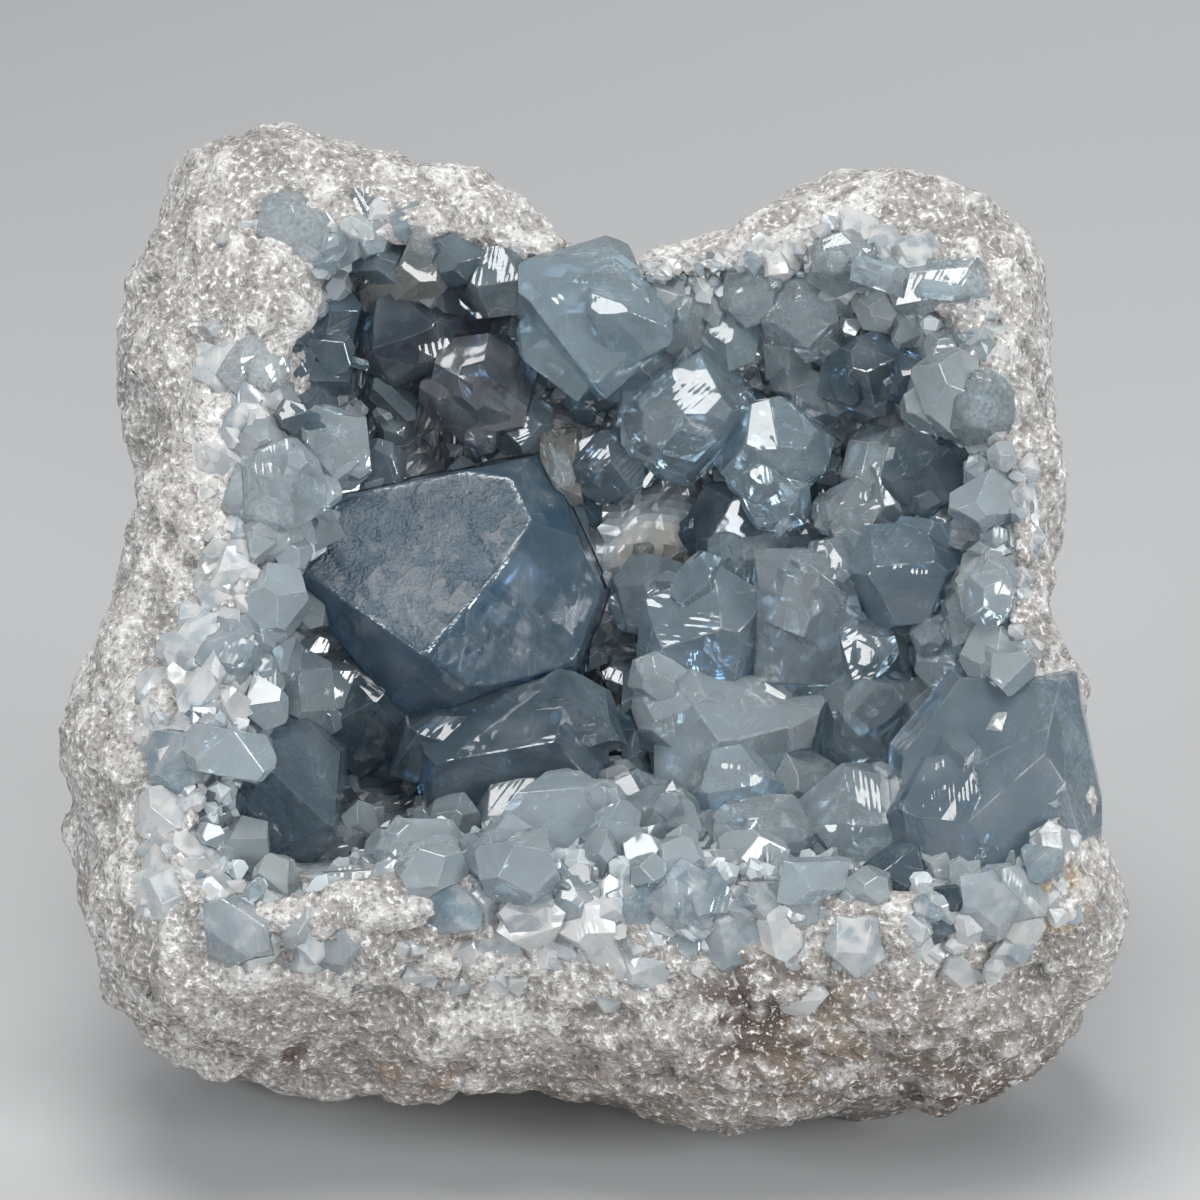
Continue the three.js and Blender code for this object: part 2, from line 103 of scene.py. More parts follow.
def rind_point(angle, path):
    """A point of the rock's skin; path runs from the hollow's floor over the mouth to the back."""
    outline, mouth = round_the_ring(OUTLINE_RADII, angle), round_the_ring(MOUTH_RADII, angle)
    crest = mouth_out(angle)
    shoulder = crest - 0.8 * (outline - mouth) - 4
    lip = np.clip((path - MOUTH_AT) / (OUTLINE_AT - MOUTH_AT), 0, 1) * np.pi / 2
    back = np.clip((path - OUTLINE_AT) / (1 - OUTLINE_AT), 0, 1) * np.pi / 2
    rounding = 0.8 - 0.38 * np.maximum(0, -np.sin(angle))
    lip_radius = mouth + (outline - mouth) * np.sin(lip)
    lip_out = shoulder + (crest - shoulder) * np.cos(lip)
    back_radius = outline * np.maximum(np.cos(back), 0) ** rounding
    back_out = shoulder + (BACK_OUT - shoulder) * np.sin(back) ** rounding
    on_lip = path < OUTLINE_AT
    radius, out = np.where(on_lip, lip_radius, back_radius), np.where(on_lip, lip_out, back_out)
    skin = np.stack([radius * np.cos(angle), radius * np.sin(angle), out], -1)
    inside = bowl_point(angle, np.clip(path / MOUTH_AT, 0, 1), **ROCK_BOWL)
    return np.where((path < MOUTH_AT)[:, None], inside, skin)


def six_sided_ball(count):
    """Points of a unit ball and its quads, from a cube's six grids pressed onto the ball."""
    places, quads = {}, []
    for axis, side in itertools.product(range(3), (0, count)):
        def corner(i, j):
            key = [0, 0, 0]
            key[axis], key[(axis + 1) % 3], key[(axis + 2) % 3] = side, i, j
            return places.setdefault(tuple(key), len(places))
        for i, j in itertools.product(range(count), repeat=2):
            quad = [corner(i, j), corner(i + 1, j), corner(i + 1, j + 1), corner(i, j + 1)]
            quads.append(quad if side else quad[::-1])
    cube = np.tan((np.array(list(places)) / count * 2 - 1) * np.pi / 4)
    return cube / np.linalg.norm(cube, axis=1)[:, None], np.array(quads)


def vertex_normals(points, quads):
    a, b, c, d = (points[quads[:, corner]] for corner in range(4))
    across = np.cross(c - a, d - b)
    normals = np.zeros_like(points)
    for corner in range(4):
        np.add.at(normals, quads[:, corner], across)
    return normals / np.linalg.norm(normals, axis=1)[:, None]


def lump_height(points):
    """The rock's broad lumps: for each wavelength, four wave trains that cross at random."""
    draw = seeded(41)
    height = np.zeros(len(points))
    for (length, tall), _ in itertools.product(ROCK_LUMPS, range(4)):
        azimuth, rise = next(draw) * 2 * math.pi, next(draw) * 2 - 1
        flat = math.sqrt(1 - rise * rise)
        wavelength = length * (0.8 + 0.4 * next(draw))
        along = np.array([flat * math.cos(azimuth), flat * math.sin(azimuth), rise])
        phase = next(draw) * 2 * math.pi
        height += 0.5 * tall * np.sin(points @ along * 2 * np.pi / wavelength + phase)
    return height


def relief(points, size, octaves=3):
    """Rough relief between about -1 and 1 whose bumps are size mm wide."""
    return np.array([noise.fractal(Vector(p), 1.0, 2.1, octaves) for p in points / size])


def cells(points, size):
    """Distance to the nearest grain's middle, as a part of size, and that grain's own number."""
    found = [noise.voronoi(Vector(p)) for p in points / size]
    near = np.array([distances[0] for distances, _ in found])
    return near, np.array([noise.cell(middles[0] * 91.7) for _, middles in found])


def fade(values, low, high):
    """A smooth step from 0 at low to 1 at high."""
    part = np.clip((values - low) / (high - low), 0, 1)
    return part * part * (3 - 2 * part)


def to_world(points):
    """Millimetres across, up and out of the opening to the world's millimetres."""
    sin, cos = math.sin(OPENING_TILT), math.cos(OPENING_TILT)
    across, up, out = np.asarray(points, float).T
    return np.stack([across, up * sin - out * cos, up * cos + out * sin], -1) + OPENING_CENTRE


def mesh_object(name, points, faces):
    """A new object from points in the world's millimetres."""
    mesh = bpy.data.meshes.new(name)
    mesh.from_pydata((np.asarray(points) * MM).tolist(), [], [list(map(int, f)) for f in faces])
    made = bpy.data.objects.new(name, mesh)
    scene.collection.objects.link(made)
    return made


GRAIN, PIT = 5.5, 7  # mm, the coarse grains of the break and the pits
LEDGES = (26, 26, 3.4)  # mm, how wide and how thick the beds low down are


def rock_points(ball, quads):
    """The rock's skin in the world's mm, and its fine relief in mm."""
    angle, path = np.arctan2(ball[:, 1], ball[:, 0]), np.arccos(np.clip(ball[:, 2], -1, 1)) / np.pi
    points = rind_point(angle, path)
    points += vertex_normals(points, quads) * lump_height(points)[:, None]
    normals = vertex_normals(points, quads)
    broken = fade(path, 0.19, 0.22) * (1 - fade(path, 0.36, 0.46))
    low = fade(to_world(points)[:, 2], 62, 30)
    grain_near, grain_number = cells(points, GRAIN)
    pit_near, pit_number = cells(points + 40, PIT)
    pit = (pit_number > 0.25) * (1 - fade(pit_near, 0.12, 0.34))
    ledges = relief(to_world(points) / LEDGES, 1, 2)
    fine = 0.7 * relief(points, 5) + 0.42 * relief(points, 2.2)
    fine += broken * (1.2 * (grain_number - 0.5) + 0.8 * (0.5 - grain_near))
    fine += 1.5 * low * ledges - (0.5 + 0.9 * (1 - broken)) * pit
    height = 1.1 * relief(points, 17) + fine
    points = to_world(points + normals * height[:, None])
    points[:, 2] = np.maximum(points[:, 2], 0)
    return points, fine


def linear(hex_colour):
    """An sRGB hex colour as the linear values that a shader takes."""
    channels = [int(hex_colour[i:i + 2], 16) / 255 for i in (1, 3, 5)]
    return [c / 12.92 if c <= 0.04045 else ((c + 0.055) / 1.055) ** 2.4 for c in channels] + [1]


def add(tree, kind, inputs=None, out=0, **settings):
    """Adds a node with its settings and gives one of its outputs. inputs holds values, or other
    nodes' outputs to link. MapRange has its ends in 1 and 2, and what they become in 3 and 4."""
    made = tree.nodes.new("ShaderNode" + kind)
    for name, value in settings.items():
        setattr(made, name, value)
    for name, value in (inputs or {}).items():
        if isinstance(value, bpy.types.NodeSocket):
            tree.links.new(value, made.inputs[name])
        else:
            made.inputs[name].default_value = value
    return made.outputs[out] if made.outputs else None


def material(name):
    made = bpy.data.materials.new(name)
    made.use_nodes = True
    made.node_tree.nodes.clear()
    return made, made.node_tree


def patches(tree, place, size, low, high, detail=3.0):
    """A mask of cloudy patches size mm wide; low and high are where its noise starts and ends."""
    cloud = add(tree, "TexNoise", {"Vector": place, "Scale": 1 / (size * MM), "Detail": detail})
    return add(tree, "MapRange", {"Value": cloud, 1: low, 2: high})


def tint(tree, under, mask, colour):
    """Lays a colour over the one under it, where the mask is; 6 and 7 are a Mix's two colours."""
    return add(tree, "Mix", {0: mask, 6: under, 7: linear(colour)}, out=2, data_type="RGBA")


LIMESTONE_IOR = 1.55
SUGAR = 1.2  # mm, the sparkling grains, a little coarser than real
# Brown stains: where and how far they reach, in metres, and their colour.
STAINS = (
    ((0.058, -0.060, 0.018), 0.055, "#7f756b"),
    ((0.038, -0.069, 0.036), 0.022, "#8d7d6c"),
    ((0.030, -0.069, 0.043), 0.018, "#4c3f39"),
    ((0.084, -0.063, 0.062), 0.010, "#a08a5c"),
    ((0.070, -0.051, 0.017), 0.026, "#5d4f47"),
    ((0.003, -0.049, 0.015), 0.034, "#857a70"),
    ((-0.030, -0.058, 0.023), 0.014, "#8b7560"),
    ((-0.054, -0.057, 0.029), 0.004, "#4f3a32"),
    ((-0.071, -0.044, 0.087), 0.003, "#5a2f28"),
    ((-0.070, -0.019, 0.113), 0.0025, "#5a3a22"),
)


def limestone():
    """Porous limestone, broken and weathered: chalky, matt, with sugary white and grey grains."""
    made, tree = material("porous_limestone")
    place = add(tree, "TexCoord", out="Object")
    up = add(tree, "SeparateXYZ", {0: add(tree, "NewGeometry", out="Normal")}, out="Z")
    height = add(tree, "SeparateXYZ", {0: place}, out="Z")
    colour = tint(tree, linear("#b0aeac"), patches(tree, place, 30, 0.42, 0.62, 1), "#9c9a98")
    colour = tint(tree, colour, patches(tree, place, 8, 0.48, 0.6, 2), "#c8c7c6")
    # Painted shade darkens the hollows of the fine relief, and painted light whitens its crests.
    depth = add(tree, "Attribute", out="Fac", attribute_name="relief")
    hollow = add(tree, "MapRange", {"Value": depth, 1: -0.2, 2: -1.5, 4: 0.75})
    colour = tint(tree, colour, hollow, "#8b8987")
    crest = add(tree, "MapRange", {"Value": depth, 1: 0.2, 2: 1.3, 4: 0.6})
    colour = tint(tree, colour, crest, "#d2d1cf")
    # Painted shade, a warm grey: faces that look down and the lowest 6 cm are darkened.
    under = add(tree, "MapRange", {"Value": up, 1: 0.1, 2: -0.8})
    low = add(tree, "MapRange", {"Value": height, 1: 0.06, 2: 0.0})
    painted_underside_shade = add(tree, "Math", {0: under, 1: low}, operation="MAXIMUM")
    painted_underside_shade = add(tree, "Math", {0: painted_underside_shade, 1: 0.5}, operation="MULTIPLY")
    colour = tint(tree, colour, painted_underside_shade, "#9d9389")
    spots = patches(tree, place, 5, 0.42, 0.56, 3)
    for centre, reach, shade in STAINS:
        away = add(tree, "VectorMath", {0: place, 1: centre}, out="Value", operation="DISTANCE")
        near = add(tree, "MapRange", {"Value": away, 1: reach, 2: reach * 0.2})
        mask = add(tree, "Math", {0: near, 1: spots}, operation="MULTIPLY")
        colour = tint(tree, colour, mask, shade)
    grain = add(tree, "TexNoise", {
        "Vector": place, "Scale": 1 / (SUGAR * MM), "Detail": 3.0, "Roughness": 0.6})
    # Painted shade darkens the fine pits, the low places of the bump below.
    pits = add(tree, "MapRange", {"Value": grain, 1: 0.48, 2: 0.34, 4: 0.7})
    colour = tint(tree, colour, pits, "#666462")
    sugar = add(tree, "MapRange", {"Value": grain, 1: 0.55, 2: 0.67})
    colour = tint(tree, colour, sugar, "#ecebea")
    bump = add(tree, "Bump", {"Height": grain, "Strength": 0.9, "Distance": 1.5 * MM})
    rough = add(tree, "MapRange", {"Value": grain, 1: 0.66, 2: 0.7, 3: 0.92, 4: 0.4})
    shader = add(tree, "BsdfPrincipled", {
        "Base Color": colour, "Roughness": rough, "Normal": bump, "IOR": LIMESTONE_IOR})
    add(tree, "OutputMaterial", {"Surface": shader})
    return made


ball, quads = six_sided_ball(ROCK_QUADS)
skin, skin_relief = rock_points(ball, quads)
host_rock = mesh_object("host_rock", skin, quads)
host_rock.data.attributes.new("relief", "FLOAT", "POINT").data.foreach_set("value", skin_relief)
host_rock.data.shade_smooth()
host_rock.data.materials.append(limestone())
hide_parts("matrix")
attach(host_rock, "root")


# ---- crystals ----------------------------------------------------------------------------------
# Celestite, strontium sulphate, grown from the hollow's wall inwards. Each crystal is the space
# inside its flat faces, with small parallel growths on them; those of one kind are fused.

CRUST_BOWL = dict(edge=-4, drop=4, floor=-35)
CELL = (8.359, 5.352, 6.866)  # axes in angstroms; they give the angles between faces
# How far the faces of each form stand from a crystal's middle, as parts of its size.
HABITS = {
    "block": {"001": 0.76, "101": 0.9, "011": 0.86, "210": 0.9},
    "rhomb": {"001": 0.72, "101": 1.25, "011": 0.84, "210": 0.82},
    "plate": {"001": 0.5, "101": 0.86, "011": 0.82, "210": 0.92},
    "prism": {"001": 0.5, "011": 0.5, "101": 1.2, "210": 0.86},
    "point": {"011": 0.72, "101": 0.98, "210": 0.56},
    "grain": {"001": 0.8, "011": 0.8, "210": 0.76},
}

# The largest crystals, face by face: where (mm across, up), how far the middle stands out of the
# crust, and each face's heading from the right, tilt from straight out and distance in mm. The
# others are rows of the columns below; a lean is a heading and a tilt, in degrees.
COLUMNS = ("at", "rise", "size", "lean", "turn", "habit", "tone")
GIANT = dict(at=(-27.6, 5.5), rise=17, size=28, tone=0.35, faces=(
    (97, 30, 11.5), (-140, 55, 20), (-12, 38, 14.5), (-72, 68, 21), (42, 62, 21.5), (101, 86, 22),
    (22, 84, 26), (-18, 84, 26.5), (180, 80, 28), (142, 80, 27), (-140, 92, 21.5), (0, 180, 24)))
# The giant's faces differ in tone as painted light and shade: its upward faces paler, its
# right-hand ones darkest.
GIANT_FACE_SHADES = (0.5, 0.22, 0.05, 0.15, 0.0, 0.4, 0.1)  # of its faces, in that order
FROST_FADE = (6, 13)  # mm above its middle, where the frosting thins out
BLUE = [
    dict(at=(-15.3, -24), rise=14, size=17, tone=0.25, faces=(
        (100, 42, 10.5), (-80, 32, 11), (20, 58, 14), (105, 82, 12.3), (58, 84, 17), (0, 88, 17.6),
        (-90, 88, 16), (180, 82, 18), (135, 84, 14.5), (0, 180, 14))),
    dict(at=(74, -31.5), rise=18, size=18, tone=0.75, faces=(
        (128, 44, 12), (-45, 20, 12.5), (-160, 50, 15), (15, 48, 15.5), (95, 80, 21), (0, 86, 18),
        (-40, 85, 19), (-100, 86, 20), (180, 86, 19), (140, 80, 18.5), (0, 180, 14), (10, 130, 14),
        (-50, 130, 15))),
    dict(at=(-58.8, -31.8), rise=10, size=13, tone=0.35, faces=(
        (45, 40, 9.5), (-130, 18, 8.5), (170, 50, 8.5), (80, 50, 12.5), (-80, 45, 11.5),
        (92, 86, 16), (45, 84, 13.4), (0, 86, 11.3), (-45, 86, 14), (180, 88, 9), (-90, 86, 15),
        (0, 180, 13))),
    # The next three, in the hollow's upper-left corner, have tones below 0: greyed with painted
    # shade.
    ((-36, 54), 6, 9.5, (-70, 40), 25, "block", -0.1),
    ((-28, 57), 3, 7.5, (60, 50), 45, "plate", -0.3),
    ((-21, 44.8), 8, 11, (20, 45), 65, "block", -0.25),
    ((-52, 47), 5, 7, (80, 75), 20, "prism", 0.3),
    ((-43.7, -16.6), 5, 11.5, (-80, 35), 30, "block", 0.1),
    ((21.5, -1.5), 13, 12.5, (150, 30), 20, "block", 0.9),
    ((58.4, 9), 9, 11.5, (95, 45), 5, "block", 0.75),
    ((63, 28.7), 6, 9, (-120, 35), 30, "block", 0.3),
    ((59, -50), 0, 10, (100, 55), 35, "plate", 0.25),
    ((60, 45.7), 6, 6.5, (70, 70), 50, "block", 0.2),
    ((51.8, 46.7), 6, 9, (-35, 35), 20, "block", 0.25),
    ((2.6, 29.7), 7, 7.5, (-100, 40), 30, "block", 0.3),
    ((25, 17.4), 4, 9, (150, 50), 60, "block", 0.15),
]
CLEAR = [
    ((-36, 64), 6, 10.5, (-90, 62), 55, "prism", 1.15),
    dict(at=(16.3, 39), rise=13, size=11, tone=0.5, faces=(
        (90, 35, 8.5), (-90, 35, 8.5), (180, 78, 10), (38, 72, 9.8), (-30, 76, 9.4), (125, 76, 9.4),
        (-150, 76, 8.6), (-110, 80, 10.2), (-50, 80, 8.9), (0, 180, 12))),
    dict(at=(37.6, 2.3), rise=15, size=12, tone=0.85, faces=(
        (92, 62, 11), (-60, 28, 9), (-160, 50, 8.5), (30, 60, 10.5), (-10, 86, 12), (180, 86, 7.8),
        (-90, 84, 14), (90, 88, 11.6), (0, 180, 12))),
    ((33.8, 32.5), 9, 10.5, (-60, 30), 15, "block", 0.45),
    ((38.6, 59), 6, 8, (-90, 25), 50, "block", 0.7),
    ((15.9, 58), 8, 7, (90, 85), 0, "point", 0.8),
    ((-43.7, 77.5), 0, 5.5, (85, 80), 10, "point", 0.6),
    ((24.4, 9.8), 12, 7, (85, 78), 35, "point", 0.3),
    ((51.8, -17.6), 6, 11, (-70, 25), 40, "plate", 0.6),
    ((72.6, 0.5), 5, 9, (170, 45), 15, "block", 0.6),
    ((49.9, 20), 7, 7.5, (90, 20), 60, "block", 0.9),
    ((11, 5), 9, 8, (-150, 40), 10, "block", 0.5),
    ((31, 13), 9, 7, (100, 55), 70, "prism", 0.7),
    ((46, 9), 12, 8, (60, 50), 25, "block", 0.6),
    ((50, -4), 12, 8.5, (-60, 30), 50, "point", 0.5),
    ((66, -6), 9, 7.5, (140, 40), 80, "block", 0.7),
    ((15, -9), 10, 7, (-100, 60), 35, "rhomb", 0.4),
    ((72.5, 17), 5, 6, (85, 70), 10, "prism", 0.9),
    ((70.7, 40), 4, 7, (-150, 40), 55, "block", 0.45),
    ((-50, -41), 5, 6.5, (100, 40), 10, "block", 0.9),
    ((-72, -37), 3, 4.5, (-30, 30), 50, "block", 0.9),
    ((3.6, -30.8), 10, 5, (-45, 40), 15, "block", 1.0),
    ((-6.8, 29.7), 8, 7.5, (5, 85), 85, "prism", 1.25),
]
MILKY = [
    dict(at=(-1.1, 57), rise=14, size=14, tone=0.35, faces=(
        (-100, 10, 9), (-50, 55, 12.6), (120, 45, 12.5), (90, 72, 12.3), (180, 88, 13.6),
        (45, 75, 12.3), (0, 85, 13), (-50, 90, 13.4), (-136, 85, 8.4), (0, 180, 11), (90, 130, 9))),
    dict(at=(26.3, -23.3), rise=12, size=14.5, tone=0.8, faces=(
        (80, 45, 10), (170, 45, 12), (-60, 35, 10.5), (92, 85, 13.2), (45, 80, 14.6), (0, 85, 15.6),
        (180, 88, 15.5), (-90, 88, 14.5), (0, 180, 13))),
    ((16.5, -17), 14, 10, (120, 35), 30, "block", 0.75),
    ((36, -20), 13, 9.5, (30, 40), 60, "point", 0.85),
    ((25, -31), 15, 9, (-80, 30), 10, "block", 0.6),
    ((29, 62.8), 5, 7, (120, 30), 20, "block", 0.5),
    ((25, 54), 5, 6.5, (10, 50), 70, "block", 0.5),
    ((-56.9, 74), 0, 7.5, (-100, 30), 30, "block", 0.8),
    ((-64.4, 46.7), 1, 7, (-20, 35), 0, "block", 0.9),
    ((-49.3, 32.5), 12, 8, (-60, 20), 40, "block", 0.9),
    ((-57.8, 25), 7, 8.5, (-140, 25), 75, "block", 0.85),
    ((61.5, -41), 26, 7, (-80, 35), 20, "block", 1.0),
    ((-6.8, -40), 9, 12.5, (80, 15), 5, "plate", 0.8),
    ((12, -39), 10, 9, (-90, 20), 60, "block", 0.7),
    ((32, -40), 9, 9, (40, 40), 30, "block", 0.8),
    ((49, -38.5), 10, 12, (80, 35), 75, "block", 0.6),
    ((46, 67.5), 3, 6.5, (-70, 45), 25, "block", 0.7),
    ((64, 63), 3, 9, (-80, 60), 5, "prism", 0.6),
]


def crust_out(across, up):
    """How far out the crust's own surface lies at a place of the hollow."""
    angle = np.arctan2(up, across)
    reach = np.minimum(1, np.hypot(across, up) / round_the_ring(MOUTH_RADII, angle))
    part = np.arcsin(reach ** (1 / BOWL_POWER)) / (np.pi / 2)
    return float(bowl_point(angle, part, **CRUST_BOWL)[..., 2])


def heading_normal(heading, tilt):
    """A unit normal: its heading from the right, and its tilt from straight out, in degrees."""
    turn, fall = math.radians(heading), math.radians(tilt)
    return (math.sin(fall) * math.cos(turn), math.sin(fall) * math.sin(turn), math.cos(fall))


def form_normals(form):
    """Unit normals of all faces of one form, such as the four faces of {210}."""
    indices = [int(digit) / length for digit, length in zip(form, CELL)]
    signs = itertools.product(*[(1, -1) if value else (1,) for value in indices])
    found = np.array([[value * sign for value, sign in zip(indices, some)] for some in signs])
    return found / np.linalg.norm(found, axis=1)[:, None]


def habit_faces(habit, size, draw):
    """Normals and distances of a habit's faces; each face grew a little more or less."""
    normals, distances = [], []
    for form, part in HABITS[habit].items():
        for normal in form_normals(form):
            normals.append(normal)
            distances.append(size * part * draw.uniform(0.93, 1.07))
    return np.array(normals), np.array(distances)


def lean_matrix(lean, turn):
    """Leans a crystal over by a tilt towards a heading, and turns it on its own axis."""
    heading, tilt = math.radians(lean[0]), math.radians(lean[1])
    pose = Matrix.Rotation(heading, 3, "Z") @ Matrix.Rotation(tilt, 3, "Y")
    return np.array(pose @ Matrix.Rotation(math.radians(turn) - heading, 3, "Z"))


def crystal(draw, at, size, rise=0, out=None, faces=None, habit=None, lean=(0, 0), turn=0,
            tone=0.5):
    """A crystal as its middle, its faces' normals and their distances, in the opening's mm."""
    if faces:
        normals = np.array([heading_normal(heading, tilt) for heading, tilt, _ in faces])
        distances = np.array([distance for _, _, distance in faces], float)
    else:
        normals, distances = habit_faces(habit, size, draw)
        normals = normals @ lean_matrix(lean, turn).T
    middle = np.array([*at, crust_out(*at) + rise if out is None else out])
    return dict(middle=middle, normals=normals, distances=distances, size=size, tone=tone)


def tilted(normal, angle, draw):
    """The normal turned by that many degrees in a random direction."""
    side = np.cross(normal, [draw.gauss(0, 1) for _ in range(3)])
    found = normal + math.tan(math.radians(angle)) * side / np.linalg.norm(side)
    return found / np.linalg.norm(found)


def crystal_corners(normals, distances):
    """The corners of the space inside all faces: where three meet and none cuts them off."""
    triples = np.array(list(itertools.combinations(range(len(normals)), 3)))
    planes, reach = normals[triples], distances[triples]
    cut = np.abs(np.linalg.det(planes)) > 1e-4
    corners = np.linalg.solve(planes[cut], reach[cut][..., None])[..., 0]
    corners = corners[(corners @ normals.T <= distances + 1e-6).all(1)]
    return np.unique(corners.round(3), axis=0)


def worn(one, splits, chips, draw):
    """The crystal with some faces split in two a few degrees apart, and some corners chipped."""
    normals, distances = list(one["normals"]), list(one["distances"])
    for _ in range(splits):
        face = draw.randrange(len(one["normals"]))
        normal, reach = one["normals"][face], one["distances"][face]
        side = np.cross(normal, [draw.gauss(0, 1) for _ in range(3)])
        hinge = normal * reach + side / np.linalg.norm(side) * draw.uniform(0, 0.4) * one["size"]
        normals.append(tilted(normal, draw.uniform(4, 13), draw))
        distances.append(float(normals[-1] @ hinge))
    corners = crystal_corners(np.array(normals), np.array(distances))
    for _ in range(chips):
        corner = corners[draw.randrange(len(corners))]
        normals.append(tilted(corner / np.linalg.norm(corner), draw.uniform(0, 35), draw))
        tip = float((corners @ normals[-1]).max())
        distances.append(tip - draw.uniform(0.03, 0.13) * one["size"])
    return dict(one, normals=np.array(normals), distances=np.array(distances))


def side_crystals(parent, count, draw):
    """Smaller crystals grown nearly in parallel on a crystal's sides."""
    sides = [i for i, normal in enumerate(parent["normals"]) if -0.2 < normal[2] < 0.8]
    for _ in range(count):
        face = draw.choice(sides)
        normal, reach = parent["normals"][face], parent["distances"][face]
        scale = draw.uniform(0.3, 0.62)
        slide = np.cross(normal, [draw.gauss(0, 1) for _ in range(3)])
        slide *= draw.uniform(0.3, 0.95) * reach / np.linalg.norm(slide)
        turn = np.array(Euler([math.radians(draw.gauss(0, 17)) for _ in range(3)]).to_matrix())
        distances = parent["distances"] * scale
        distances = distances * np.array([draw.uniform(0.85, 1.2) for _ in distances])
        step = draw.uniform(-0.1, 0.35) * distances[face]
        middle = parent["middle"] + normal * (reach + step - distances[face]) + slide
        yield dict(parent, middle=middle, distances=distances, size=parent["size"] * scale,
                   normals=parent["normals"] @ turn.T,
                   tone=min(1, max(-0.3, parent["tone"] + draw.uniform(-0.15, 0.2))))


def solid_crystal(one, swell=0.0, bevel=0.0):
    """A closed mesh of one crystal, its edges worn by bevel mm; swell moves every face out. Where
    the worn edges don't close up, the crystal keeps sharp ones."""
    corners = crystal_corners(one["normals"], one["distances"] + swell)
    mesh = bpy.data.meshes.new("crystal")
    for width in (bevel, 0):
        shape = bmesh.new()
        for place in to_world(corners + one["middle"]) * MM:
            shape.verts.new(place)
        bmesh.ops.convex_hull(shape, input=shape.verts)
        loose = [vert for vert in shape.verts if not vert.link_faces]
        bmesh.ops.delete(shape, geom=loose, context="VERTS")
        if width:
            bmesh.ops.dissolve_limit(shape, angle_limit=math.radians(1), verts=shape.verts,
                                     edges=shape.edges)
            chipped = shape.faces.layers.float.new("chipped")
            worn_edges = bmesh.ops.bevel(shape, geom=shape.edges[:], offset=width * MM, segments=1,
                                         affect="EDGES", clamp_overlap=True)
            for face in worn_edges["faces"]:
                face[chipped] = 1
            bmesh.ops.triangulate(shape, faces=shape.faces)
            bmesh.ops.remove_doubles(shape, verts=shape.verts, dist=1e-7)
        if all(edge.is_manifold for edge in shape.edges):
            break
    shape.to_mesh(mesh)
    shape.free()
    tones = mesh.attributes.new("tone", "FLOAT", "FACE")
    tones.data.foreach_set("value", [one["tone"]] * len(mesh.polygons))
    return bpy.data.objects.new("crystal", mesh)


def baked(piece):
    """The piece's mesh with its modifiers applied."""
    return bpy.data.meshes.new_from_object(
        piece.evaluated_get(bpy.context.evaluated_depsgraph_get()))


def combine(base, operands, operation):
    """Joins the operands to base or cuts them out of it, and leaves one closed mesh."""
    group = bpy.data.collections.new("operands")
    for operand in operands:
        group.objects.link(operand)
    step = base.modifiers.new("combine", "BOOLEAN")
    step.operation, step.operand_type, step.solver = operation, "COLLECTION", "MANIFOLD"
    step.collection = group
    result = baked(base)
    base.modifiers.clear()
    base.data = result
    for operand in operands:
        bpy.data.objects.remove(operand)
    bpy.data.collections.remove(group)
    return base


def fused(name, crystals, bevel):
    """Crystals grown together, as one closed piece."""
    solids = [solid_crystal(one, bevel=bevel) for one in crystals]
    scene.collection.objects.link(solids[0])
    piece = combine(solids[0], solids[1:], "UNION") if len(solids) > 1 else solids[0]
    piece.name = piece.data.name = name
    return piece


CONTACT_GAP = 0.06  # mm, between two pieces that touch


def make_room(piece, neighbours):
    """Cuts a piece clear of crystals that were there first, so no two glassy faces coincide."""
    cutters = [solid_crystal(one, swell=CONTACT_GAP) for one in neighbours]
    return combine(piece, cutters, "DIFFERENCE")


VEILED_FROM = 6  # mm, the smallest crystals with healed cracks
VEIL_HALF = 0.009  # a healed crack's half thickness, as a part of the size


def veils(piece, crystals, count, seed):
    """Healed cracks: thin lens-shaped hollows in the larger crystals, which flash like silver."""
    draw = random.Random(seed)
    lenses = []
    for one in crystals:
        for _ in range(count if one["size"] > VEILED_FROM else 0):
            middle = one["middle"] + [draw.uniform(-0.45, 0.45) * one["size"] for _ in range(3)]
            pose = Euler([draw.uniform(0, math.pi) for _ in range(3)]).to_matrix()
            across = np.array(pose) * one["size"]
            rim = [(math.cos(turn), math.sin(turn), draw.uniform(-0.012, 0.012))
                   for turn in np.linspace(0, 2 * math.pi, 9, endpoint=False)]
            wide = draw.uniform(0.12, 0.34)
            shape = [wide * draw.uniform(0.55, 1) * np.array(point) for point in rim]
            shape += [np.array((0, 0, side * VEIL_HALF)) for side in (-1, 1)]
            lens = bmesh.new()
            for point in to_world(np.array(shape) @ across.T + middle) * MM:
                lens.verts.new(point)
            bmesh.ops.convex_hull(lens, input=lens.verts)
            loose = [vert for vert in lens.verts if not vert.link_faces]
            bmesh.ops.delete(lens, geom=loose, context="VERTS")
            mesh = bpy.data.meshes.new("veil")
            lens.to_mesh(mesh)
            lens.free()
            lenses.append(bpy.data.objects.new("veil", mesh))
    return combine(piece, lenses, "DIFFERENCE")


CELESTITE_IOR = 1.63
CLOUD, CHIP, CRACKS = 9, 3, 11  # mm, across hazy patches, chips, and between cracks
WAVE, WAVE_HEIGHT = 8, 1.1  # mm, low swells of the faces
STRIAE, STRIA_HEIGHT = (0.6, 9, 7), 0.25  # mm, growth lines: their spacing and two lengths
ETCH_PIT, ETCH_DEPTH = 0.7, 0.7  # mm, how wide and how deep etching made its dents
SCARS = (0.35, 3, 2)  # mm, short scratches: their width and two lengths


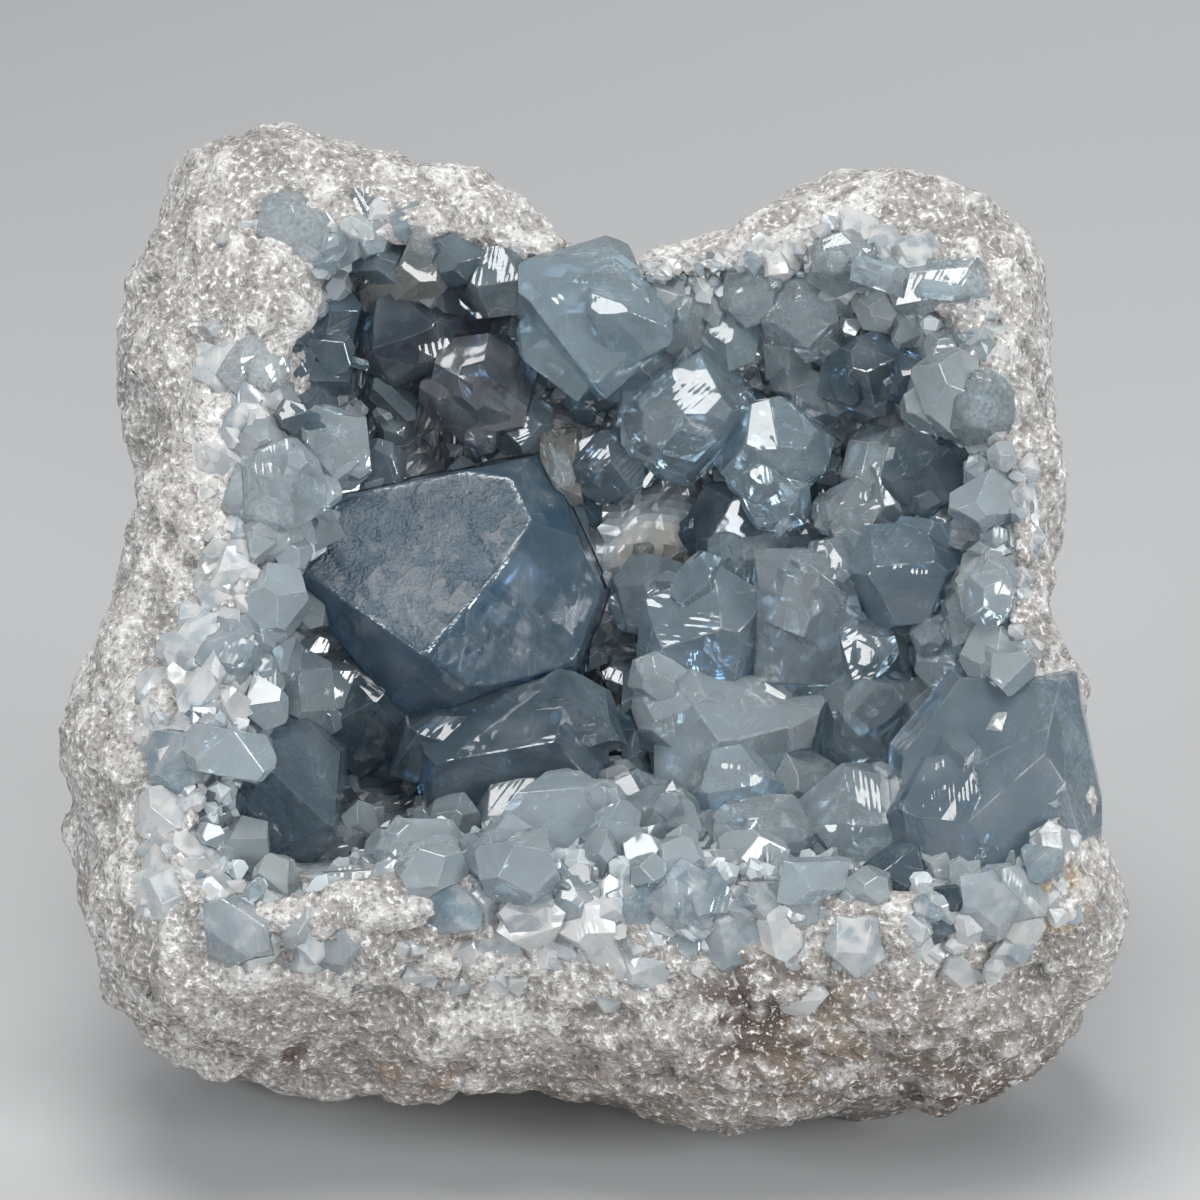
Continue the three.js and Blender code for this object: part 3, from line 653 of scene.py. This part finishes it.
def celestite(name, pale, deep, clear, roughness, haze, body=None, density=0, dust=0,
              etching=False):
    """Celestite: a glassy lustre like a dense glass, with a weak blue body colour. Its tone goes
    from 0, deep, to 1, pale, below 0 to a grey of painted shade and above 1 to a dry beige. clear
    is how much light goes through, haze how white its clouds are, body and density what its
    inside takes away, and dust how much powder lies on it."""
    made, tree = material(name)
    place = add(tree, "TexCoord", out="Object")
    tone = add(tree, "Attribute", out="Fac", attribute_name="tone")
    colour = tint(tree, linear(deep), tone, pale)
    dry = add(tree, "MapRange", {"Value": tone, 1: 1.0, 2: 1.3})
    colour = tint(tree, colour, dry, "#cfc8ba")
    # Tones below 0 grey the colour: painted shade.
    painted_shade = add(tree, "MapRange", {"Value": tone, 1: 0.0, 2: -0.3})
    colour = tint(tree, colour, painted_shade, "#77777b")
    cloud = patches(tree, place, CLOUD, 0.42, 0.72, 1)
    veiled = add(tree, "Math", {0: cloud, 1: haze}, operation="MULTIPLY")
    colour = tint(tree, colour, veiled, "#dbe7ee")

    # Worn edges and healed cracks look white, most of all on the pale crystals; the white on the
    # worn edges is chipping, and partly a painted edge highlight.
    chips = add(tree, "Attribute", out="Fac", attribute_name="chipped")
    broken = patches(tree, place, CHIP, 0.38, 0.56, 0)
    chips = add(tree, "Math", {0: chips, 1: broken}, operation="MULTIPLY")
    edge_white_and_highlight = add(tree, "MapRange", {"Value": tone, 3: 0.12, 4: 0.6})
    white = add(tree, "Math", {0: chips, 1: edge_white_and_highlight}, operation="MULTIPLY")
    sheets = add(tree, "TexNoise", {"Vector": place, "Scale": 1 / (CRACKS * MM), "Detail": 0.0})
    crack = add(tree, "Math", {0: sheets, 1: 0.5, 2: 0.003}, operation="COMPARE")
    crack = add(tree, "Math", {0: crack, 1: cloud}, operation="MULTIPLY")
    white = add(tree, "Math", {0: crack, 1: 0.4, 2: white}, operation="MULTIPLY_ADD")
    colour = tint(tree, colour, white, "#edf5f8")
    dull = add(tree, "MapRange", {"Value": cloud, 3: roughness, 4: roughness + 0.07})
    dulling = [(white, 0.4)]

    # Fine growth lines, which run their own way on each crystal, told apart by its tone, and low
    # swells under them.
    own = 0.7 if etching else add(tree, "Math", {0: tone, 1: 30.0}, operation="MULTIPLY")
    along = add(tree, "VectorRotate", {"Vector": place, "Axis": (0.3, 0.8, 0.5), "Angle": own})
    lines = add(tree, "Mapping", {
        "Vector": along, "Scale": [1 / (length * MM) for length in STRIAE]})
    striae = add(tree, "TexNoise", {"Vector": lines, "Scale": 1.0, "Detail": 0.0})
    wave = add(tree, "TexNoise", {
        "Vector": place, "Scale": 1 / (WAVE * MM), "Detail": 1.5, "Roughness": 0.6})
    bumps = [(wave, 0.6, WAVE_HEIGHT), (striae, 0.25, STRIA_HEIGHT)]

    if etching:
        etched = add(tree, "Attribute", out="Fac", attribute_name="frost")
        paleness = add(tree, "MapRange", {"Value": tone, 2: 0.7, 3: 0.1, 4: 0.9})
        grey = add(tree, "Math", {0: etched, 1: paleness}, operation="MULTIPLY")
        colour = tint(tree, colour, grey, "#bac3ca")
        scars = add(tree, "Mapping", {"Vector": place, "Rotation": (0.2, 0.9, 0.4), "Scale": [
            1 / (length * MM) for length in SCARS]})
        scars = add(tree, "TexNoise", {"Vector": scars, "Scale": 1.0, "Detail": 0.0})
        scars = add(tree, "MapRange", {"Value": scars, 1: 0.66, 2: 0.71, 4: 0.8})
        scars = add(tree, "Math", {0: scars, 1: cloud}, operation="MULTIPLY")
        colour = tint(tree, colour, scars, "#cfdde6")
        pits = add(tree, "TexNoise", {"Vector": place, "Scale": 1 / (ETCH_PIT * MM), "Detail": 2.0})
        pits = add(tree, "Math", {0: pits, 1: etched}, operation="MULTIPLY")
        bumps.append((pits, 0.9, ETCH_DEPTH))
        dulling.append((etched, 0.35))
    if dust:
        powder = patches(tree, place, CHIP, 0.4, 0.68, 1)
        powder = add(tree, "Math", {0: powder, 1: dust}, operation="MULTIPLY")
        colour = tint(tree, colour, powder, "#e9e8e6")
        dulling.append((powder, 0.6))

    for mask, more in dulling:
        dull = add(tree, "Math", {0: mask, 1: more, 2: dull}, operation="MULTIPLY_ADD")
    below = {}
    for rise, strength, height in bumps:
        normal = add(tree, "Bump", {
            "Height": rise, "Strength": strength, "Distance": height * MM, **below})
        below = {"Normal": normal}
    ends = {"Surface": add(tree, "BsdfPrincipled", {
        "Base Color": colour, "Roughness": dull, "Normal": normal, "IOR": CELESTITE_IOR,
        "Transmission Weight": clear})}
    if body:
        ends["Volume"] = add(tree, "VolumeAbsorption", {"Color": linear(body), "Density": density})
    add(tree, "OutputMaterial", ends)
    return made


def dress(piece, finish):
    """Gives crystals their finish; together they stand for the crust."""
    piece.data.materials.clear()
    piece.data.materials.append(finish)
    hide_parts("celestite_crust")
    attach(piece, "root")


def grown(specs, seed, sides, splits=5, chips=4):
    """The crystals of a list, worn, each with its side crystals."""
    draw = random.Random(seed)
    for spec in specs:
        parent = crystal(draw, **(spec if isinstance(spec, dict) else dict(zip(COLUMNS, spec))))
        for one in (parent, *side_crystals(parent, sides, draw)):
            yield worn(one, splits, chips, draw)


giant = list(grown([GIANT], seed=3, sides=0))
blue = list(grown(BLUE, seed=11, sides=3))
clear = list(grown(CLEAR, seed=17, sides=3))
milky = list(grown(MILKY, seed=23, sides=3, splits=6))


def nearest_face(points, one):
    """How far below each face of the crystal the points lie, nearest face first."""
    depth = one["distances"] - (points - one["middle"]) @ one["normals"].T
    return np.argmin(depth, 1), np.sort(depth, 1)


def from_world(points):
    """The world's millimetres to millimetres across, up and out of the opening."""
    sin, cos = math.sin(OPENING_TILT), math.cos(OPENING_TILT)
    x, y, z = (points - OPENING_CENTRE).T
    return np.stack([x, y * sin + z * cos, -y * cos + z * sin], -1)


ETCH_MESH = 0.55  # mm, the even mesh that carries the etching
PLATE, FLAKE = 1.9, 6.5  # mm, the etched face's fine plates and wider flakes
OTHER_FACE_SHADE = 0.2  # of the giant's remaining faces, darkened as painted shade


def etch_giant(piece, one):
    """Its broad upper face is frosted by etching; the other faces are glassy, with fine scars."""
    step = piece.modifiers.new("even mesh", "REMESH")
    step.mode, step.voxel_size = "VOXEL", ETCH_MESH * MM
    mesh = baked(piece)
    piece.modifiers.clear()
    piece.data = mesh
    world = np.array([v.co for v in mesh.vertices]) / MM
    points = from_world(world)
    face, depth = nearest_face(points, one)
    edge = depth[:, 1] - depth[:, 0]
    frost = np.where(face == 0, fade(edge, 0.2, 1.2), 0)
    _, plate = cells(points / (1, 1.6, 1), PLATE)
    _, flake = cells(points + 30, FLAKE)
    etched = 0.5 * relief(points, 6) + 0.16 * (plate - 0.6) + 0.25 * (flake - 0.5)
    ripples = 0.1 * relief(points, 9, 2)
    height = frost * (etched - 0.4) + (1 - frost) * (ripples - 0.12)
    normals = np.array([v.normal for v in mesh.vertices])
    world += normals * np.minimum(height, 0)[:, None]
    mesh.vertices.foreach_set("co", (world * MM).ravel())
    # Whitened near its face edges: chipping, and partly a painted edge highlight.
    chipped = 0.4 - 0.4 * fade(edge, 0.1, 0.4)
    shades = np.array(GIANT_FACE_SHADES + (OTHER_FACE_SHADE,))[np.minimum(face, len(GIANT_FACE_SHADES))]
    low, high = FROST_FADE
    upper = fade(points[:, 1] - one["middle"][1] + 4 * relief(points, 8, 2), low, high)
    shades = np.maximum(0, shades + frost * (0.6 * plate + 0.8 * flake - 0.55 - 0.6 * upper))
    for name, values in (("frost", frost), ("chipped", chipped), ("tone", shades)):
        mesh.attributes.new(name, "FLOAT", "POINT").data.foreach_set("value", values)
    return piece


giant_crystal = etch_giant(fused("giant_crystal", giant, bevel=0.2), giant[0])
giant_crystal = veils(giant_crystal, giant, count=5, seed=61)
# Deep blue-grey glass under one face as dull as slate, and a few scratches.
dress(giant_crystal, celestite(
    "frosted_blue_celestite", pale="#b6c6d1", deep="#5f8399", clear=0.76, roughness=0.1,
    haze=0.3, body="#7cbce1", density=40, etching=True))

clear_crystals = make_room(fused("clear_crystals", clear, bevel=0.24), giant)
clear_crystals = veils(clear_crystals, clear, count=3, seed=67)
# Nearly colourless and bright, so the crystals behind show through.
dress(clear_crystals, celestite(
    "clear_celestite", pale="#e9f2f6", deep="#aec7d4", clear=0.84, roughness=0.03,
    haze=0.15, body="#86c6e6", density=18))

blue_crystals = make_room(fused("blue_crystals", blue, bevel=0.2), giant + clear)
blue_crystals = veils(blue_crystals, blue, count=3, seed=71)
# Deeper blue-grey and glassy; those greyed by painted shade look nearly black.
dress(blue_crystals, celestite(
    "blue_celestite", pale="#b2c8d4", deep="#4d6677", clear=0.77, roughness=0.05,
    haze=0.35, body="#7cbce1", density=42))

milky_crystals = make_room(fused("milky_crystals", milky, bevel=0.35), giant + clear + blue)
milky_crystals = veils(milky_crystals, milky, count=3, seed=73)
# Clouded inside, with wide worn edges, so light stays in them as in milk glass.
dress(milky_crystals, celestite(
    "milky_celestite", pale="#e2ecf0", deep="#b0cad6", clear=0.77, roughness=0.04,
    haze=0.5, body="#96cbe6", density=24))


# ---- druse -------------------------------------------------------------------------------------
# The first crystals on the hollow's wall: a sugary skin, a few millimetres thick, of small, pale
# grains and points that fills the room between the large crystals and up to the broken rim.

DRUSE_QUADS = 150  # along each side of its grid
ROOT_BOWL = dict(drop=4, floor=-54)  # mm, the skin's buried back
PALE_PATCHES = ((11, 12, 15), (-7, 32, 9))  # mm across and up, and their reach
PAINTED_SHADE_CORNER = (-40, 50, 34)  # the same, for the darkest painted shade


def wall_tone_and_shade(across, up):
    """How pale the druse is: painted shade darkens it in the deep, most of all in the upper-left
    corner; it is pale near the rim and in a few dry patches.
    """
    reach = np.hypot(across, up) / round_the_ring(MOUTH_RADII, np.arctan2(up, across))
    tone = fade(reach, 0.6, 0.95) * 0.8
    shade_x, shade_y, wide = PAINTED_SHADE_CORNER
    tone = tone * fade(np.hypot(across - shade_x, up - shade_y), 0.7 * wide, 1.15 * wide)
    for x, y, wide in PALE_PATCHES:
        tone = np.maximum(tone, 1.2 * (1 - fade(np.hypot(across - x, up - y), 0.4 * wide, wide)))
    return tone


def druse_bed():
    """The closed skin: its grainy face and its root in the rock, on a square grid made round."""
    steps = np.linspace(-1, 1, DRUSE_QUADS + 1)
    x, y = (grid.ravel() for grid in np.meshgrid(steps, steps, indexing="ij"))
    part = np.maximum(np.abs(x), np.abs(y))
    wide = np.abs(x) >= np.abs(y)
    turn = np.where(wide, np.where(x != 0, y / np.where(x == 0, 1, x), 0),
                    2 - x / np.where(y == 0, 1, y)) * np.pi / 4
    angle = turn + np.where(np.where(wide, x, y) < 0, np.pi, 0)
    face = bowl_point(angle, part, **CRUST_BOWL)
    wall = round_the_ring(OUTLINE_RADII, angle) - round_the_ring(MOUTH_RADII, angle)
    root = bowl_point(angle, part, edge=np.minimum(7, 0.45 * wall), **ROOT_BOWL)
    number = np.arange(len(face)).reshape(DRUSE_QUADS + 1, -1)
    top = [number[:-1, :-1], number[1:, :-1], number[1:, 1:], number[:-1, 1:]]
    top = np.stack(top, -1).reshape(-1, 4)
    rough = (1 - fade(part, 0.95, 0.99)) * (1.1 * relief(face, 5) + 0.7 * relief(face, 2) - 0.4)
    face += vertex_normals(face, top) * rough[:, None]
    edge = np.concatenate([number[:, 0], number[-1, 1:], number[-2::-1, -1], number[0, -2:0:-1]])
    after, count = np.roll(edge, -1), len(face)
    walls = np.stack([after, edge, edge + count, after + count], -1)
    quads = np.concatenate([top, top[:, ::-1] + count, walls])
    bed = mesh_object("druse", to_world(np.concatenate([face, root])), quads)
    middles = face[np.minimum(quads, count - 1)].mean(1)
    # Its tone carries the wall's painted shade.
    tones = bed.data.attributes.new("tone", "FLOAT", "FACE")
    tones.data.foreach_set("value", wall_tone_and_shade(middles[:, 0], middles[:, 1]))
    return bed


def bowl_lean(angle, part):
    """Heading and tilt of the wall's own normal, in degrees."""
    step = 0.02
    onward = part + step if part < 0.97 else part - step
    here, on, round_ = (bowl_point(a, p, **CRUST_BOWL) for a, p in (
        (angle, part), (angle, onward), (angle + step, part)))
    normal = np.cross(on - here, round_ - here)
    normal *= math.copysign(1, normal[2]) / np.linalg.norm(normal)
    return math.degrees(math.atan2(normal[1], normal[0])), math.degrees(math.acos(normal[2]))


def druse_crystals(count, sizes, habits, seed, big, room):
    """Small crystals on the wall that stand clear of the large ones' middles."""
    draw = random.Random(seed)
    found = []
    while len(found) < count:
        angle, part = draw.uniform(0, 2 * math.pi), draw.random() ** 0.5
        place = bowl_point(angle, part, **CRUST_BOWL)
        size = sizes[0] + (sizes[1] - sizes[0]) * draw.random() ** 2
        heading, tilt = bowl_lean(angle, part)
        lean = (heading + draw.uniform(-25, 25), tilt + draw.uniform(-38, 38))
        # Each takes the wall's tone, painted shade included, made a little paler at random.
        spec = dict(at=place[:2], out=place[2] + draw.uniform(0.1, 0.75) * size, size=size,
                    lean=lean, turn=draw.uniform(0, 180), habit=draw.choice(habits),
                    tone=min(1.2, float(wall_tone_and_shade(*place[:2])) + draw.uniform(0, 0.3)))
        if all(math.dist(place, one["middle"]) > room * one["size"] for one in big):
            found.append(crystal(draw, **spec))
    return found


large = giant + clear + blue + milky
middling = druse_crystals(count=380, sizes=(3.0, 8.0), habits=("block", "point", "prism", "block"),
                          seed=31, big=large, room=0.5)
small = druse_crystals(count=900, sizes=(1.2, 3.2), habits=("grain", "point", "block"),
                       seed=37, big=large, room=0.35)
druse_points = make_room(fused("druse_points", middling, bevel=0.12), large)
# Small and glassy: pale near the rim, darkened down in the hollow by painted shade.
dress(druse_points, celestite(
    "druse_celestite", pale="#cdd9de", deep="#4d6878", clear=0.66, roughness=0.05,
    haze=0.25, body="#86c6e6", density=34))

druse = combine(druse_bed(), [solid_crystal(one, bevel=0.06) for one in small], "UNION")
druse = make_room(druse, large + middling)
# Its grains are too fine to see into, so it looks solid and sparkles like wet sugar.
# Down in the hollow its dark tone is painted shade, darkest in the upper-left corner.
dress(druse, celestite(
    "sugary_celestite", pale="#b0babf", deep="#353f46", clear=0, roughness=0.2, haze=0.2))


# ---- lip and rim -------------------------------------------------------------------------------
# Where the wall broke, small pale crystals lie cut and half sunk in the rock of the rim, and a
# row of taller ones stands along the edge of the hollow. They too are celestite, grown in place.

# How closely they lie, from 0 to 1, every 30 degrees from the right, upwards.
RIM_CROWDING = (0.25, 0.3, 0.9, 0.5, 0.6, 0.8, 0.9, 0.9, 0.9, 0.8, 0.8, 0.4)
RIM_SIZE_LIMIT = 0.24  # of the wall's own thickness


def rim_crystals(count, sizes, reach_out, stand, seed):
    """reach_out: from where to where on the lip, as parts of its width; stand: mm above it."""
    draw = random.Random(seed)
    found = []
    while len(found) < count:
        angle = draw.uniform(0, 2 * math.pi)
        if draw.random() > round_the_ring(RIM_CROWDING, angle):
            continue
        path = MOUTH_AT + (OUTLINE_AT - MOUTH_AT) * (
            reach_out[0] + (reach_out[1] - reach_out[0]) * draw.random() ** 1.6)
        here, round_, on = rind_point(
            np.array((angle, angle + 0.02, angle)), np.array((path, path, path + 0.005)))
        outward = np.cross(round_ - here, here - on)
        outward *= math.copysign(1, outward[2]) / np.linalg.norm(outward)
        size = sizes[0] + (sizes[1] - sizes[0]) * draw.random() ** 2
        wall = round_the_ring(OUTLINE_RADII, angle) - round_the_ring(MOUTH_RADII, angle)
        size = min(size, RIM_SIZE_LIMIT * float(wall))
        one = crystal(draw, at=here[:2], out=here[2], size=size, turn=draw.uniform(0, 180),
                      lean=(draw.uniform(0, 360), draw.uniform(0, 60)),
                      habit=draw.choice(("grain", "block", "point")), tone=draw.random())
        one = worn(one, 2, 3, draw)
        reach = (crystal_corners(one["normals"], one["distances"]) @ outward).max()
        found.append(dict(one, middle=here + outward * (draw.uniform(*stand) - reach)))
    return found


lip = rim_crystals(count=230, sizes=(3.5, 8.5), reach_out=(-0.15, 0.06), stand=(1.2, 3.6), seed=47)
lip_points = make_room(fused("lip_points", lip, bevel=0.2), large + middling + small)
# Still whole and glassy, but pale and a little dusty.
dress(lip_points, celestite(
    "lip_celestite", pale="#d9e2e6", deep="#86a3b3", clear=0.66, roughness=0.07,
    haze=0.5, body="#96cbe6", density=28, dust=0.35))

rim = rim_crystals(count=750, sizes=(1.8, 7.0), reach_out=(-0.1, 0.32), stand=(0.0, 1.3), seed=43)
rim_grains = make_room(fused("rim_grains", rim, bevel=0.1), large + middling + small + lip)
# Bruised by the blow that opened the nodule: dull, and white with powder.
dress(rim_grains, celestite(
    "bruised_celestite", pale="#dee1e2", deep="#a5b4bd", clear=0.5, roughness=0.15,
    haze=0.6, body="#a3cde2", density=24, dust=0.9))


# ---- floor, light and camera -------------------------------------------------------------------
# A pale paper floor, matt and seamless, five soft studio lights, and a camera a metre away that
# looks down by 20 degrees.

def plain(name, colour, roughness):
    made, tree = material(name)
    shader = add(tree, "BsdfPrincipled", {"Base Color": linear(colour), "Roughness": roughness})
    add(tree, "OutputMaterial", {"Surface": shader})
    return made


FLOOR_REACH = 4000  # mm
floor = mesh_object("floor", [(x * FLOOR_REACH, y * FLOOR_REACH, 0) for x, y in
                              ((-1, -1), (1, -1), (1, 1), (-1, 1))], [(0, 1, 2, 3)])
floor.data.materials.append(plain("pale_paper", "#adafb1", 0.85))

AIM = Vector((0.00265, 0.00207, 0.09569))  # metres, in the middle of the view
CAMERA_DISTANCE, CAMERA_PITCH = 1.0, math.radians(20)
LENS, SENSOR = 158.7, 36  # mm
lens = bpy.data.cameras.new("camera")
lens.lens, lens.sensor_width = LENS, SENSOR
camera = bpy.data.objects.new("camera", lens)
camera.location = AIM + CAMERA_DISTANCE * Vector((
    0, -math.cos(CAMERA_PITCH), math.sin(CAMERA_PITCH)))
camera.rotation_euler = Euler((math.pi / 2 - CAMERA_PITCH, 0, 0))
scene.collection.objects.link(camera)
scene.camera = camera


LIT = Vector((0, 0, 0.08))  # metres, where every light points


def soft_light(name, place, width, watts, colour="#ffffff"):
    """A round soft box of that width, in metres."""
    light = bpy.data.lights.new(name, "AREA")
    light.shape, light.size, light.energy, light.color = "DISK", width, watts, linear(colour)[:3]
    made = bpy.data.objects.new(name, light)
    made.location = place
    made.rotation_euler = (LIT - Vector(place)).to_track_quat("-Z", "Y").to_euler()
    scene.collection.objects.link(made)


soft_light("overhead", (-0.1, -0.25, 1.45), width=0.8, watts=15, colour="#fffdfa")
soft_light("left", (-1.3, -0.9, 0.8), width=0.65, watts=12)
soft_light("right", (1.3, -1.0, 0.6), width=0.65, watts=18)
soft_light("front", (0.1, -2.2, 0.9), width=0.7, watts=16)
soft_light("back", (0.4, 1.5, 1.0), width=0.9, watts=9)

sky = bpy.data.worlds.new("studio")
sky.use_nodes = True
sky.node_tree.nodes["Background"].inputs["Color"].default_value = linear("#e9ebee")
sky.node_tree.nodes["Background"].inputs["Strength"].default_value = 0.22
scene.world = sky

scene.view_settings.view_transform = "Standard"
